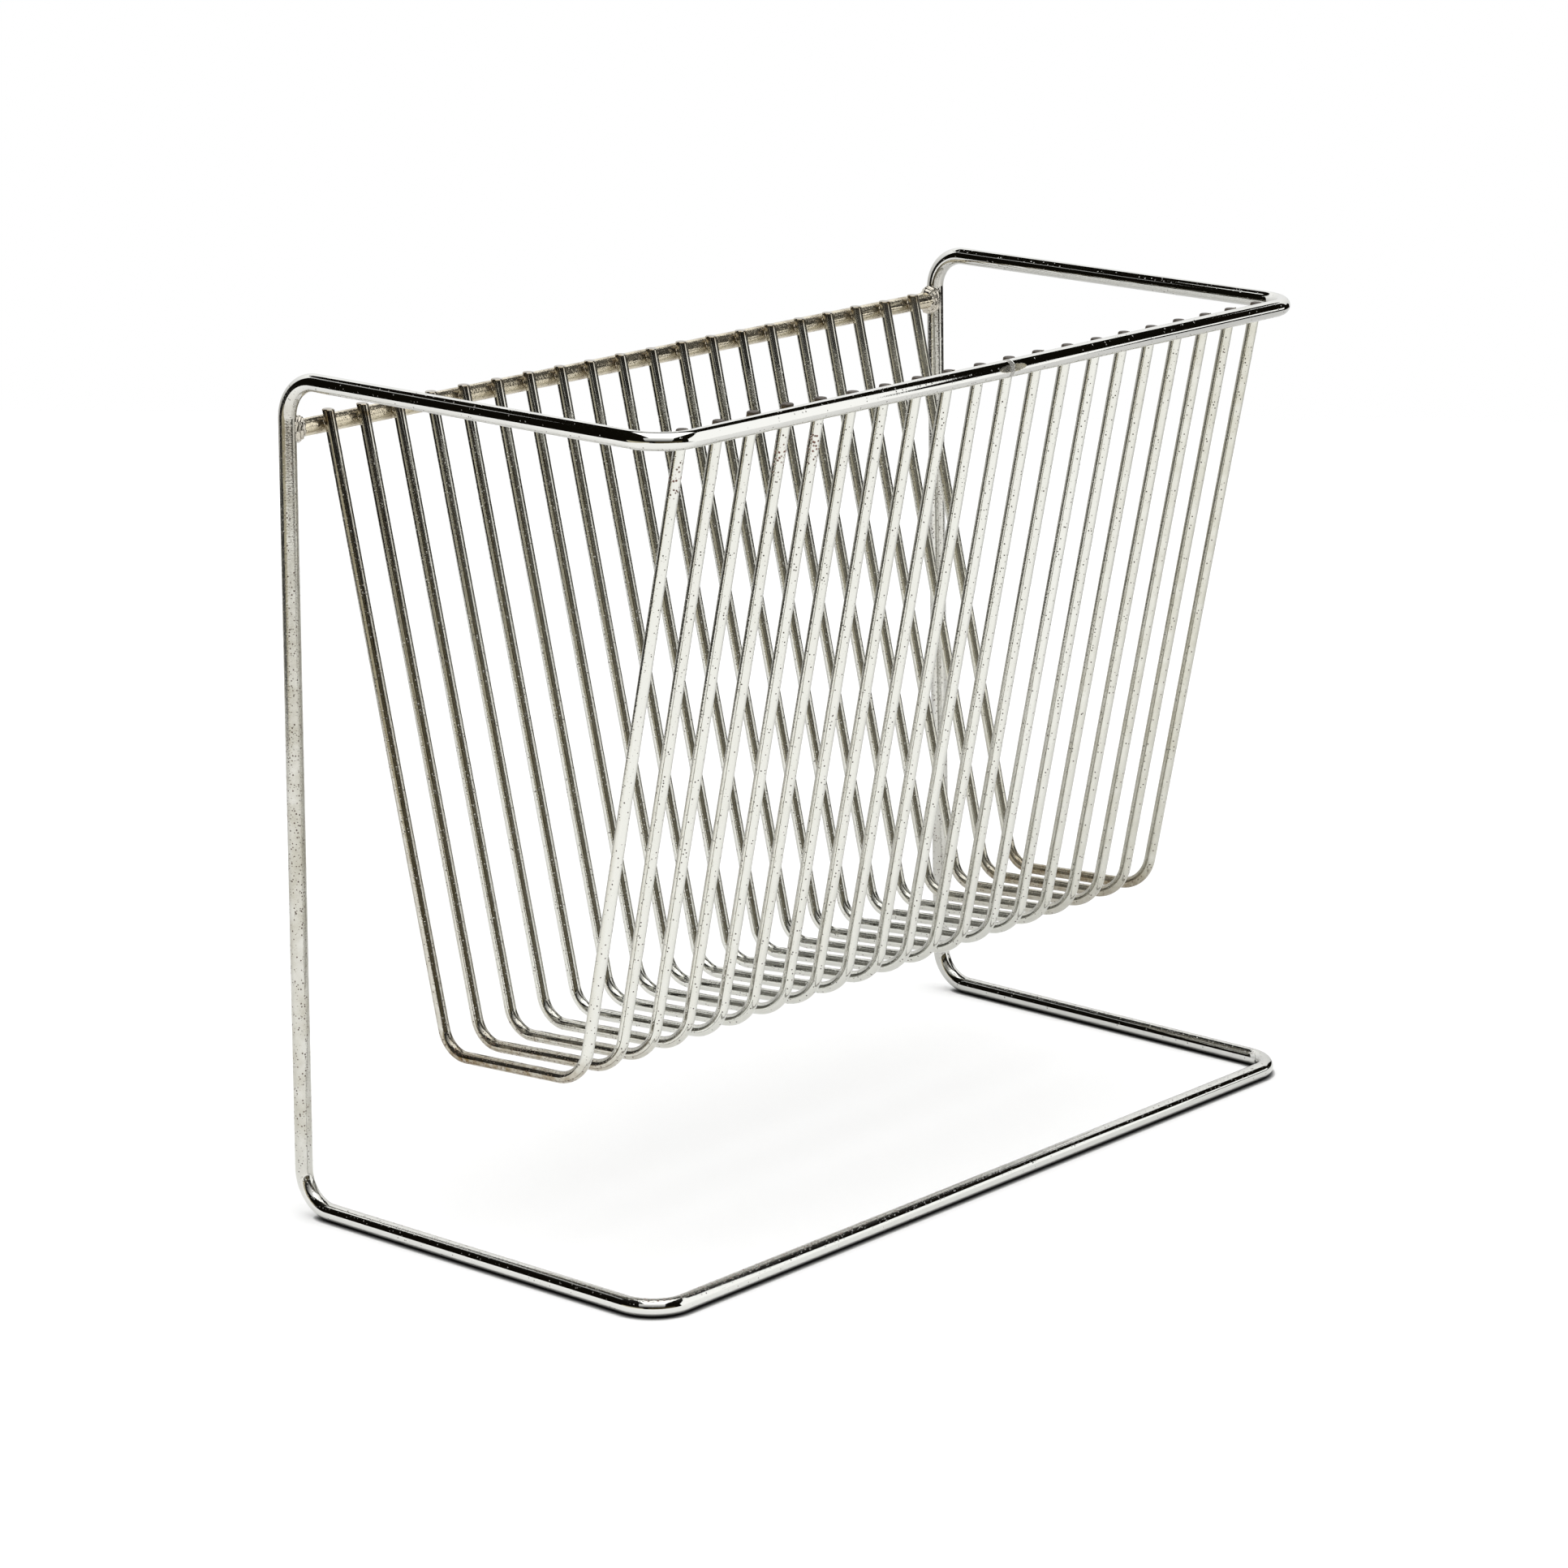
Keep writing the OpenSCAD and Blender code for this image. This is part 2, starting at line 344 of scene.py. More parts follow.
def bar(name, points, radius, sides, wear, start=0.0, chamfer=0.25 * MM, level=False, trim=None):
    """Round bar along points, with its ends cut square or level.

    The vertices keep their place on the bar ("rod": across, across, along) and the wear there ("wear").
    The finishes read both. start sets the patterns of bars apart. trim gives the metal taken off at a place.
    """
    last = len(points) - 1
    ways = [(points[min(k + 1, last)] - points[max(k - 1, 0)]).normalized() for k in range(last + 1)]
    across = ways[0].orthogonal().normalized()
    verts, rod, worn = [], [], []
    along = start

    def ring(centre, way, r, cut_z=None):
        """Adds a ring of vertices across the bar, or on a level cut."""
        other = way.cross(across)
        for k in range(sides):
            a = 2 * math.pi * k / sides
            out = across * math.cos(a) + other * math.sin(a)
            place = centre + out * r
            if cut_z is not None:
                place += way * ((cut_z - place.z) / way.z)
            if trim:
                place += trim(place)
            verts.append(place)
            rod.append((math.cos(a) * r, math.sin(a) * r, along))
            worn.append(wear(place, out))

    for k, (centre, way) in enumerate(zip(points, ways)):
        if k:
            along += (centre - points[k - 1]).length
            across = (across - way * across.dot(way)).normalized()
        if 0 < k < last:
            ring(centre, way, radius)
            continue
        inward = way if k == 0 else -way
        cuts = (centre.z, centre.z - chamfer) if level else (None, None)
        end = [(centre, way, radius - chamfer, cuts[0]), (centre + inward * chamfer, way, radius, cuts[1])]
        for step in end if k == 0 else reversed(end):
            ring(*step)
    count = len(verts) // sides
    faces = []
    for k in range(count - 1):
        for j in range(sides):
            a, b = k * sides + j, k * sides + (j + 1) % sides
            faces.append((a, b, b + sides, a + sides))
    faces.append(tuple(reversed(range(sides))))
    faces.append(tuple(range((count - 1) * sides, count * sides)))
    return mesh_piece(name, verts, faces, {"rod": rod, "wear": worn}, BAR_EDGE)


# Finishes


def add(tree, kind, inputs=None, **settings):
    """Adds a shader node of a kind. An input is a value, or the socket that feeds it."""
    node = tree.nodes.new("ShaderNode" + kind)
    for key, value in settings.items():
        setattr(node, key, value)
    for key, value in (inputs or {}).items():
        if isinstance(value, bpy.types.NodeSocket):
            tree.links.new(value, node.inputs[key])
        else:
            node.inputs[key].default_value = value
    return node


def empty_tree(block):
    """Node tree of a material or a world, without nodes."""
    block.use_nodes = True
    block.node_tree.nodes.clear()
    return block.node_tree


# Blotches of film and pits are about 7 mm wide, and the brown clouds about 2 mm.
BLOTCHES_PER_MM, CLOUDS_PER_MM = 0.15, 0.5
# A pit lies in a cell that is two and a half pits wide. Its smallest and largest radius, its flat bottom
# and what rust adds to the radius are given in cells, its depth in millimetres.
PITS_PER_CELL = 0.4
PIT_RADII, PIT_BOTTOM, RUST_GROWTH, PIT_DEPTH = (0.18, 0.34), 0.12, 0.2, 0.04
# Share of the cells that hold a pit, at full wear and a full blotch, and share of pits with a broken plate.
PIT_SHARE, OPEN_SHARE = 1.7, 0.5
# The film is patchy between a thin and a thick blotch. A part of it scatters light as dust does.
BLOTCH_RANGE, FILM_RANGE, FILM_SCATTER = (0.3, 0.7), (0.5, 1.3), 0.4
# What heat gains in a cloud, and the roughness that broken plate adds.
BROWN_GAIN, BROKEN_ROUGHNESS = 1.8, 0.5


def chrome(plate, name, roughness, film, film_roughness, pit_mm, grain_mm, grain_depth):
    """Worn chrome plate on steel. Pits and grain are given by their size in millimetres.

    The vertices' wear says how far the plate is browned (X), covered by a dull film (Y) and pitted (Z).
    """
    colors = bpy.context.scene.rack_colors
    material = bpy.data.materials.new(name)
    tree = empty_tree(material)
    place = add(tree, "Attribute", attribute_name="rod").outputs["Vector"]
    wear = add(tree, "Attribute", attribute_name="wear").outputs["Vector"]
    heat, dull, pitted = add(tree, "SeparateXYZ", {"Vector": wear}).outputs
    in_mm = add(tree, "VectorMath", {0: place, "Scale": 1 / MM}, operation="SCALE").outputs["Vector"]
    blotch = add(tree, "TexNoise", {"Vector": in_mm, "Scale": BLOTCHES_PER_MM, "Detail": 3.0}).outputs["Fac"]
    grain = add(tree, "TexNoise", {"Vector": in_mm, "Scale": 1 / grain_mm, "Detail": 2.0}).outputs["Fac"]
    # Pits: a part of the cells holds a small round pit. Where the wear passes 1, pits are larger and rusty.
    rusty = add(tree, "Math", {0: pitted, 1: 1.0}, operation="SUBTRACT", use_clamp=True).outputs["Value"]
    cells = add(tree, "TexVoronoi", {"Vector": in_mm, "Scale": PITS_PER_CELL / pit_mm})
    cell_value = add(tree, "SeparateColor", {"Color": cells.outputs["Color"]}).outputs
    share = add(tree, "Math", {0: blotch, 1: pitted}, operation="MULTIPLY").outputs["Value"]
    share = add(tree, "Math", {0: share, 1: PIT_SHARE}, operation="MULTIPLY").outputs["Value"]
    has_pit = add(tree, "Math", {0: cell_value["Red"], 1: share}, operation="LESS_THAN").outputs["Value"]
    size = add(
        tree, "MapRange", {"Value": cell_value["Green"], "To Min": PIT_RADII[0], "To Max": PIT_RADII[1]}
    ).outputs["Result"]
    size = add(tree, "Math", {0: rusty, 1: RUST_GROWTH, 2: size}, operation="MULTIPLY_ADD").outputs["Value"]
    depth = add(
        tree,
        "MapRange",
        {"Value": cells.outputs["Distance"], "From Min": size, "From Max": PIT_BOTTOM},
        interpolation_type="SMOOTHSTEP",
    ).outputs["Result"]
    pit = add(tree, "Math", {0: depth, 1: has_pit}, operation="MULTIPLY").outputs["Value"]
    # The plate is broken in a part of the pits. The others are dents with their plate.
    share = add(tree, "Math", {0: rusty, 1: OPEN_SHARE}, operation="ADD").outputs["Value"]
    is_open = add(tree, "Math", {0: cell_value["Blue"], 1: share}, operation="LESS_THAN").outputs["Value"]
    broken = add(tree, "Math", {0: pit, 1: is_open}, operation="MULTIPLY").outputs["Value"]
    # Heat above 1 burns the plate off.
    burnt = add(tree, "Math", {0: heat, 1: 1.0}, operation="SUBTRACT", use_clamp=True).outputs["Value"]
    broken = add(tree, "Math", {0: broken, 1: burnt}, operation="MAXIMUM").outputs["Value"]
    # The film is patchy.
    (thin, thick), (least, most) = BLOTCH_RANGE, FILM_RANGE
    patch = add(
        tree,
        "MapRange",
        {"Value": blotch, "From Min": thin, "From Max": thick, "To Min": least, "To Max": most},
    ).outputs["Result"]
    cover = add(tree, "Math", {0: patch, 1: dull}, operation="MULTIPLY", use_clamp=True).outputs["Value"]
    # Heat browns the plate in cloudy patches of a few millimetres.
    cloud = add(tree, "TexNoise", {"Vector": in_mm, "Scale": CLOUDS_PER_MM, "Detail": 3.0}).outputs["Fac"]
    brown = add(tree, "Math", {0: cloud, 1: BROWN_GAIN}, operation="MULTIPLY").outputs["Value"]
    brown = add(tree, "Math", {0: brown, 1: heat}, operation="MULTIPLY", use_clamp=True).outputs["Value"]
    stain = add(
        tree, "Mix", {"Factor": rusty, "A": colors.bare, "B": colors.rust}, data_type="RGBA"
    ).outputs["Result"]
    color = plate
    for factor, over in ((cover, linear(film)), (brown, colors.browned), (broken, stain)):
        mix = add(tree, "Mix", {"Factor": factor, "A": color, "B": over}, data_type="RGBA")
        color = mix.outputs["Result"]
    scatter = add(tree, "Math", {0: cover, 1: FILM_SCATTER}, operation="MULTIPLY").outputs["Value"]
    scatter = add(tree, "Math", {0: scatter, 1: broken}, operation="MAXIMUM").outputs["Value"]
    metal = add(tree, "Math", {0: 1.0, 1: scatter}, operation="SUBTRACT").outputs["Value"]
    rough = add(
        tree, "MapRange", {"Value": cover, "To Min": roughness, "To Max": film_roughness}
    ).outputs["Result"]
    rough = add(
        tree, "Math", {0: broken, 1: BROKEN_ROUGHNESS, 2: rough}, operation="MULTIPLY_ADD"
    ).outputs["Value"]
    # Grain rises and pits sink by hundredths of a millimetre. The grain fades where the plate is clean.
    height = add(tree, "Math", {0: grain, 1: pitted}, operation="MULTIPLY").outputs["Value"]
    height = add(tree, "Math", {0: height, 1: grain_depth}, operation="MULTIPLY").outputs["Value"]
    height = add(tree, "Math", {0: pit, 1: -PIT_DEPTH, 2: height}, operation="MULTIPLY_ADD").outputs["Value"]
    bump = add(tree, "Bump", {"Height": height, "Distance": MM, "Strength": 1.0}).outputs["Normal"]
    surface = add(
        tree, "BsdfPrincipled", {"Base Color": color, "Metallic": metal, "Roughness": rough, "Normal": bump}
    ).outputs["BSDF"]
    add(tree, "OutputMaterial", {"Surface": surface})
    return material


# Finish of each slot. The plates' colours are properties. Pits have their real size. The real grain is
# finer: it is drawn half a millimetre wide and more so that it shows.
FINISHES = {
    # Bright chrome on polished rod: a mirror with sharp black and white bands and fine pits.
    "chromed_rod": {
        "name": "Bright chrome on polished steel rod",
        "roughness": 0.03,
        "film": "#8C8468",
        "film_roughness": 0.28,
        "pit_mm": 0.4,
        "grain_mm": 0.6,
        "grain_depth": 0.02,
    },
    # Dulled chrome on the back rail: a beige sheen without sharp bands.
    "chromed_rail": {
        "name": "Dulled chrome on steel rail",
        "roughness": 0.10,
        "film": "#D0BF98",
        "film_roughness": 0.28,
        "pit_mm": 0.4,
        "grain_mm": 0.8,
        "grain_depth": 0.06,
    },
    # Thin chrome on drawn wire: sharp stripes broken up by grain and brown pits.
    "chromed_wire": {
        "name": "Thin chrome on drawn steel wire",
        "roughness": 0.03,
        "film": "#B0AC98",
        "film_roughness": 0.10,
        "pit_mm": 0.45,
        "grain_mm": 0.6,
        "grain_depth": 0.022,
    },
    # Plated weld metal: lumpy and bright, brown where it was heated.
    "weld_bead": {
        "name": "Plated weld bead with heat tint",
        "roughness": 0.06,
        "film": "#9C8B72",
        "film_roughness": 0.40,
        "pit_mm": 0.35,
        "grain_mm": 0.6,
        "grain_depth": 0.03,
    },
    # Filed and plated over: grey, with fine file marks.
    "filed_weld": {
        "name": "Filed weld under chrome",
        "roughness": 0.16,
        "film": "#8E8B83",
        "film_roughness": 0.35,
        "pit_mm": 0.3,
        "grain_mm": 0.5,
        "grain_depth": 0.08,
    },
}


def fit_out(piece, node, slot):
    """Lets a piece stand for a solid, with its finish."""
    finish = FINISHES[slot]
    plate = getattr(bpy.context.scene.rack_colors, slot)
    piece.data.materials.append(bpy.data.materials.get(finish["name"]) or chrome(plate, **finish))
    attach(piece, "root")
    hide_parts(node)


# Wear. Each function below returns one that gives the wear at a place where the bar faces out: how far the
# plate is browned (above 1 burnt off), covered by a dull film, and pitted (above 1 with larger, rusty pits).


def frame_wear(s):
    """Pitted uprights, the left one duller, dust on top of the base, most at the left, and a grey hollow."""
    c = frame_corners(s)
    top, base, front = c["top_back", LEFT].z, c["base_back", LEFT].z, c["base_front", LEFT].y
    rail_z = rail_centre(s, LEFT).z
    # A step that reaches into metal which the file has taken off.
    probe = file_way(s) * 0.01 * MM
    bend_zone, rod_zone, front_zone, weld_zone = 25 * MM, 6 * MM, 8 * MM, 18 * MM
    # The dust on the base's front run ends here on the right, and is full at the same distance on the left.
    dust_end = 100 * MM

    def wear(place, out):
        upright = clamped(min(place.z - base, top - place.z) / bend_zone)
        film, pits = (0.4 if place.x < 0 else 0.2) * upright, 0.2 + upright
        if place.z < base + rod_zone:
            on_front = abs(place.y - front) < front_zone
            dust = clamped((dust_end - place.x) / (2 * dust_end)) if on_front else 0.3
            upper = clamped((out.z - 0.65) / 0.25)
            film, pits = (0.05 + 0.12 * dust) * upper, 0.25 + (0.6 + 0.8 * dust) * upper
        if place.z > top - rod_zone and filed(s, place + probe).length > 0:
            film, pits = 0.9, 1.0
        heat = fade(abs(place.z - rail_z), weld_zone) if upright else 0.0
        return (0.35 * heat, film, pits)

    return wear


def rail_wear(s):
    """Brown next to each wire, most of all on its left."""
    places = [wire_points(s, i)[1]["back"][0].x for i in range(1, s.wire_count + 1)]
    to_left, weld_zone = 2 * MM, 4.5 * MM

    def wear(place, out):
        heat = fade(min(abs(place.x - x + to_left) for x in places), weld_zone)
        return (0.02 + 0.65 * heat, 0.25, 1.0 + 0.3 * heat)

    return wear


# Wires with the most rust below the front rail.
RUSTY_WIRES = (1, 4, 5)


def wire_wear(s, i, path, welds):
    """Burnt front tips, brown back tips, rust below the front rail, heat at the back rail, floor grime.

    The first wires are brown at the back, the last ones hazy, and the outer ones have the grime. The sides
    that
    face into the basket get a painted shade: they are made duller and browner.
    """
    rng = random.Random(100 + i)
    rusty = rng.uniform(0.1, 0.4) + (1.0 if i in RUSTY_WIRES else 0.0)
    haze = rng.uniform(0.0, 0.08) + 0.4 * fade(s.wire_count - i, 6)
    outer = fade(min(i - 1, s.wire_count - i), 4)
    first = fade(i - 1, 3)
    front_weld, back_weld = welds["front"][0], welds["back"][0]
    floor_z = path[1].z
    # Height of the basket's middle, towards which its inside faces, and of the zone above its floor without
    # the painted shade.
    middle_z, unshaded_zone, leg_zone = 200 * MM, 6 * MM, 20 * MM
    rust_zone, heat_zone, grime_zone = 12 * MM, 8 * MM, 14 * MM
    # Below a rail the plate is clean at first, and then pitted more and more.
    clean_below, pit_zone = 4 * MM, 10 * MM

    def wear(place, out):
        at_front = place.y < 0
        inward = Vector((0, -place.y, middle_z - place.z)).normalized()
        # Painted shade: the sides that face into the basket are made duller and browner, fading in above its
        # floor.
        inner = clamped(0.5 + 1.2 * out.dot(inward)) * clamped((place.z - floor_z - unshaded_zone) / leg_zone)
        down = (front_weld.z if at_front else back_weld.z) - place.z
        pits = min(max((down - clean_below) / pit_zone, 0.1), 1.0)
        if at_front:
            pits = 0.95 * pits + fade(abs(down - rust_zone), rust_zone) * rusty
        tip = (2.0 if at_front else 0.8) * clamped(-down / MM + 0.5)
        heat = 0.4 * fade((place - back_weld).length, heat_zone)
        grime = fade(place.z - floor_z, grime_zone) * outer
        aged = 0.35 * first if place.y > 0 else 0.0
        # Brown and film of that painted shade, on the front legs and on the back legs.
        thin, dull = (0.12, 0.4) if at_front else (0.05, 0.1)
        brown = max(tip, heat, 0.85 * grime, aged, thin * inner)
        return (brown, haze + 0.3 * grime + dull * inner, pits + 0.5 * grime)

    return wear


# The welds have the same wear all over. Only the small ones are browner on their left side.
BUTT_WELD_WEAR, BEAD_WEAR = (0.0, 0.4, 1.0), (0.15, 0.1, 0.4)
SADDLE_WEAR = {LEFT: (0.6, 0.3, 0.5), RIGHT: (0.3, 0.3, 0.5)}


# Pieces


class RACK_OT_frame_rod(bpy.types.Operator):
    """Bends the frame rod"""

    bl_idname = "rack.frame_rod"
    bl_label = "Frame rod"

    def execute(self, context):
        s = context.scene.rack_sizes
        c = frame_corners(s)
        weld = Vector((s.weld_x, c["top_front", LEFT].y, c["top_front", LEFT].z))
        path = [c[k, RIGHT] for k in ("top_front", "top_back", "base_back", "base_front")]
        path += [c[k, LEFT] for k in ("base_front", "base_back", "top_back", "top_front")]
        # From the weld to past the end of the hollow, the steps are fine.
        fine = s.file_l * 0.6
        ends = [(weld + ALONG * side * s.weld_w / 2, weld + ALONG * side * fine) for side in (RIGHT, LEFT)]
        points = bent_line(ends[0], [], WELD_STEP, 1)[:-1]
        points += bent_line(
            [ends[0][1], *path, ends[1][1]], [s.frame_bend] * len(path), RUN_STEP, FRAME_BEND_STEPS
        )
        points += bent_line(ends[1][::-1], [], WELD_STEP, 1)[1:]
        points = [pulled(s, p) if abs(p.y - weld.y) < MM and abs(p.z - weld.z) < MM else p for p in points]
        piece = bar(
            "Frame_rod", points, s.rod_d / 2, ROD_SIDES, frame_wear(s), trim=lambda place: filed(s, place)
        )
        fit_out(piece, "frame_rod", "chromed_rod")
        return {"FINISHED"}


class RACK_OT_butt_weld(bpy.types.Operator):
    """Makes the filed weld that closes the frame rod"""

    bl_idname = "rack.butt_weld"
    bl_label = "Butt weld"

    def execute(self, context):
        s = context.scene.rack_sizes
        rail = frame_corners(s)["top_front", LEFT]
        ends = [Vector((s.weld_x + side * s.weld_w / 2, rail.y, rail.z)) for side in (LEFT, RIGHT)]
        piece = bar(
            "Butt_weld",
            [pulled(s, p) for p in bent_line(ends, [], WELD_STEP, 1)],
            s.rod_d / 2,
            ROD_SIDES,
            lambda place, out: BUTT_WELD_WEAR,
            chamfer=0.02 * MM,
            trim=lambda place: filed(s, place),
        )
        fit_out(piece, "frame_butt_weld", "filed_weld")
        return {"FINISHED"}


class RACK_OT_back_rail(bpy.types.Operator):
    """Makes the back rail"""

    bl_idname = "rack.back_rail"
    bl_label = "Back rail"

    def execute(self, context):
        s = context.scene.rack_sizes
        inset = Vector((s.rod_d / 2 + s.rail_gap, 0, 0))
        points = bent_line([rail_centre(s, LEFT) + inset, rail_centre(s, RIGHT) - inset], [], RAIL_STEP, 1)
        piece = bar("Back_rail", points, s.rod_d / 2, BAR_SIDES, rail_wear(s), start=3.0)
        fit_out(piece, "back_rail", "chromed_rail")
        return {"FINISHED"}


class RACK_OT_back_rail_welds(bpy.types.Operator):
    """Lays the rippled weld at each end of the back rail"""

    bl_idname = "rack.back_rail_welds"
    bl_label = "Back rail welds"

    def execute(self, context):
        s = context.scene.rack_sizes
        for side, end in ((LEFT, "left"), (RIGHT, "right")):
            piece = self.bead(s, side, "Back_rail_weld_" + end)
            fit_out(piece, "back_rail_weld_" + end, "weld_bead")
        return {"FINISHED"}

    def bead(self, s, side, name):
        """Bead round a rail's end: a curve from rail to upright, carried round the rail."""
        phase = random.Random(31 + side).uniform(0, 6)
        upright = rail_centre(s, side)
        r = s.rod_d / 2
        steps, rows = 72, 22
        # It starts inside the rail and ends inside the upright, where its width has a limit.
        on_rail_r, widest, sunk = 0.93 * r, 0.97 * r, 0.25 * MM
        chevron = 0.22 * MM
        heap = 0.4 if side == LEFT else 1.1
        verts, rod, worn, faces = [], [], [], []
        for j in range(steps):
            a = 2 * math.pi * j / steps
            y, z = math.cos(a), math.sin(a)
            ripple = 0.22 * math.sin(9 * a + phase) + 0.12 * math.sin(4 * a + 2 * phase)
            lump = heap * abs(z) ** 3
            leg = (2.4 + 0.5 * abs(z) + ripple) * MM
            rise = (0.15 + 1.3 * abs(z) ** 0.7 + 0.3 * ripple + 0.4 * lump) * MM
            # From inside the rail, over the bead, to inside the upright.
            on_rail = Vector((-side * (r + s.rail_gap + leg), y * on_rail_r, z * on_rail_r))
            reach = r + rise
            width = min(abs(y) * reach, widest)
            inside = math.sqrt(r * r - width * width) - sunk
            on_upright = Vector((-side * inside, math.copysign(width, y), z * reach))
            out = Vector((-side * 0.55, y, z)).normalized()
            crown = on_rail.lerp(on_upright, 0.5) + out * (1.0 + 0.7 * ripple + lump) * MM
            for k in range(rows):
                t = k / (rows - 1)
                p = on_rail * (1 - t) ** 2 + crown * 2 * t * (1 - t) + on_upright * t**2
                # The pool of weld metal set in chevrons.
                p += out * chevron * math.sin(7 * math.pi * t + 4 * abs(z) + phase) * math.sin(math.pi * t)
                verts.append(upright + p)
                rod.append((y * r, z * r, 5.0 + side + p.x))
                worn.append(BEAD_WEAR)
        for j in range(steps):
            for k in range(rows - 1):
                a, b = j * rows + k, ((j + 1) % steps) * rows + k
                faces.append((a, a + 1, b + 1, b) if side == RIGHT else (a, b, b + 1, a + 1))
        inner = [j * rows for j in range(steps)]
        outer = [j * rows + rows - 1 for j in range(steps)]
        faces.append(tuple(inner if side == RIGHT else reversed(inner)))
        faces.append(tuple(reversed(outer) if side == RIGHT else outer))
        return mesh_piece(name, verts, faces, {"rod": rod, "wear": worn}, WELD_EDGE)


class RACK_OT_basket_wires(bpy.types.Operator):
    """Bends the row of basket wires"""

    bl_idname = "rack.basket_wires"
    bl_label = "Basket wires"

    def execute(self, context):
        s = context.scene.rack_sizes
        for i in range(1, s.wire_count + 1):
            path, welds = wire_points(s, i)
            points = bent_line(path, [s.back_bend, s.front_bend], RUN_STEP, WIRE_BEND_STEPS)
            wear = wire_wear(s, i, path, welds)
            piece = bar(
                "Basket_wire_%02d" % i, points, s.wire_d / 2, BAR_SIDES, wear, start=10.0 + i, level=True
            )
            fit_out(piece, "basket_wire_%02d" % i, "chromed_wire")
        return {"FINISHED"}


class RACK_OT_wire_welds(bpy.types.Operator):
    """Lays the small welds where the wires cross the rails"""

    bl_idname = "rack.wire_welds"
    bl_label = "Wire welds"

    def execute(self, context):
        s = context.scene.rack_sizes
        for place, seed in (("back", 7), ("front", 8)):
            rng = random.Random(seed)
            verts, faces, rod, worn = [], [], [], []
            for i in range(1, s.wire_count + 1):
                on_wire, on_rail = wire_points(s, i)[1][place]
                self.saddle(s, rng, on_wire, on_rail, i, verts, faces, rod, worn)
            name = place.capitalize() + "_wire_welds"
            piece = mesh_piece(name, verts, faces, {"rod": rod, "wear": worn}, WELD_EDGE)
            fit_out(piece, place + "_wire_welds", "weld_bead")
        return {"FINISHED"}

    def saddle(self, s, rng, on_wire, on_rail, i, verts, faces, rod, worn):
        """Adds one fillet round the place where a wire lies on a rail."""
        up = (on_wire - on_rail).normalized()
        w = up.cross(ALONG)
        r_rail, r_wire = s.rod_d / 2, s.wire_d / 2
        steps, rows, lumps = 24, 5, 6
        # Half widths along and across the rail, the most that the wire covers, depth in the metal, waist.
        half_x, half_w, widest, sunk, waist = 0.90 * r_wire, 0.72 * r_rail, 0.97 * r_wire, 0.15 * MM, 0.22
        first = len(verts)
        bulge = [rng.uniform(-0.10, 0.12) for _ in range(lumps)]
        for j in range(steps):
            a = 2 * math.pi * j / steps
            lump = 1 + bulge[int(j * lumps / steps)]
            ox = max(-widest, min(widest, math.cos(a) * half_x * lump))
            ow = math.sin(a) * half_w * lump
            off = ALONG * ox + w * ow
            low = on_rail + off + up * (math.sqrt(r_rail**2 - ow**2) - sunk)
            high = on_wire + off - up * (math.sqrt(r_wire**2 - ox**2) - sunk)
            for k in range(rows):
                t = k / (rows - 1)
                verts.append(low.lerp(high, t) - off * waist * math.sin(math.pi * t))
                rod.append((ox, ow, 40.0 + i + t * MM))
                worn.append(SADDLE_WEAR[LEFT if ox < 0 else RIGHT])
        for j in range(steps):
            for k in range(rows - 1):
                a = first + j * rows + k
                b = first + ((j + 1) % steps) * rows + k
                faces.append((a, b, b + 1, a + 1))
        faces.append(tuple(first + j * rows for j in reversed(range(steps))))
        faces.append(tuple(first + j * rows + rows - 1 for j in range(steps)))


# Studio

# Corners of the paper floor from the rack's middle, away from the camera and to its right.
PAPER = ((-1.7, -0.85), (-1.7, 1.0), (1.3, 1.0), (1.3, -0.85))
# Tone of the paper by itself, and the painted light that sets its colour in the mirrors near the camera and
# far from it, between two distances.
PAPER_TONE, NEAR_PAINTED_LIGHT, FAR_PAINTED_LIGHT, TONE_SPAN = 0.93, 1.3, 0.78, (-0.2, 0.3)
# Reach of the painted contact shadow under the rods, and the light that the paper adds for the camera.
PAINTED_SHADOW_REACH, CAMERA_LIFT = 2 * MM, 0.07
# Radius and height of the curved wall, and the degrees over which it runs.
BACKDROP_R, BACKDROP_H, BACKDROP_STEPS = 1.35, 1.28, 26
BACKDROP_FROM, BACKDROP_SWEEP = -15, 130
# Outline of the tall card, to the back and up, in the plane at TALL_X.
TALL_X = 0.5
TALL_CARD = (
    (-0.4, 0), (-0.4, 0.235), (-0.56, 0.26), (-0.55, 0.39),
    (-0.396, 0.61), (-0.2, 0.88), (-1.9, 0.88), (-1.9, 0),
)
# The softbox hangs over this place. Its corners and the scrim's are given from there, away from the camera
# and to its right, and the scrim's also by height.
SOFTBOX_AT, SOFTBOX_Z, SCRIM_Z = Vector((-0.16, -0.07, 0)), 0.9, 0.55
SOFTBOX = ((-0.52, -0.26), (-0.52, 0.43), (0.45, 0.43), (0.45, -0.26))
SCRIM = ((-0.52, -0.45, SOFTBOX_Z), (-0.52, 0.45, SOFTBOX_Z), (-1.25, 0.7, SCRIM_Z), (-1.25, -0.7, SCRIM_Z))
# Name, azimuth and elevation of the middle in degrees, distance, width, height, colour and brightness.
CARDS = (
    ("Strip_light", 105, 45, 1.2, 0.8, 0.05, WHITE, 0.7),
    ("Dim_room", 240, 3, 1.75, 1.9, 0.5, "#B5A67E", 0.24),
    ("Dim_wall", 176, -4, 1.75, 1.6, 0.5, "#B9B29C", 1.4),
    ("Low_card", -33, 2.5, 1.4, 0.36, 0.2, WHITE, 1.6),
)
CARD_CENTRE = Vector((0, 0, 0.14))
DARK_STUDIO = "#E0CFA8"


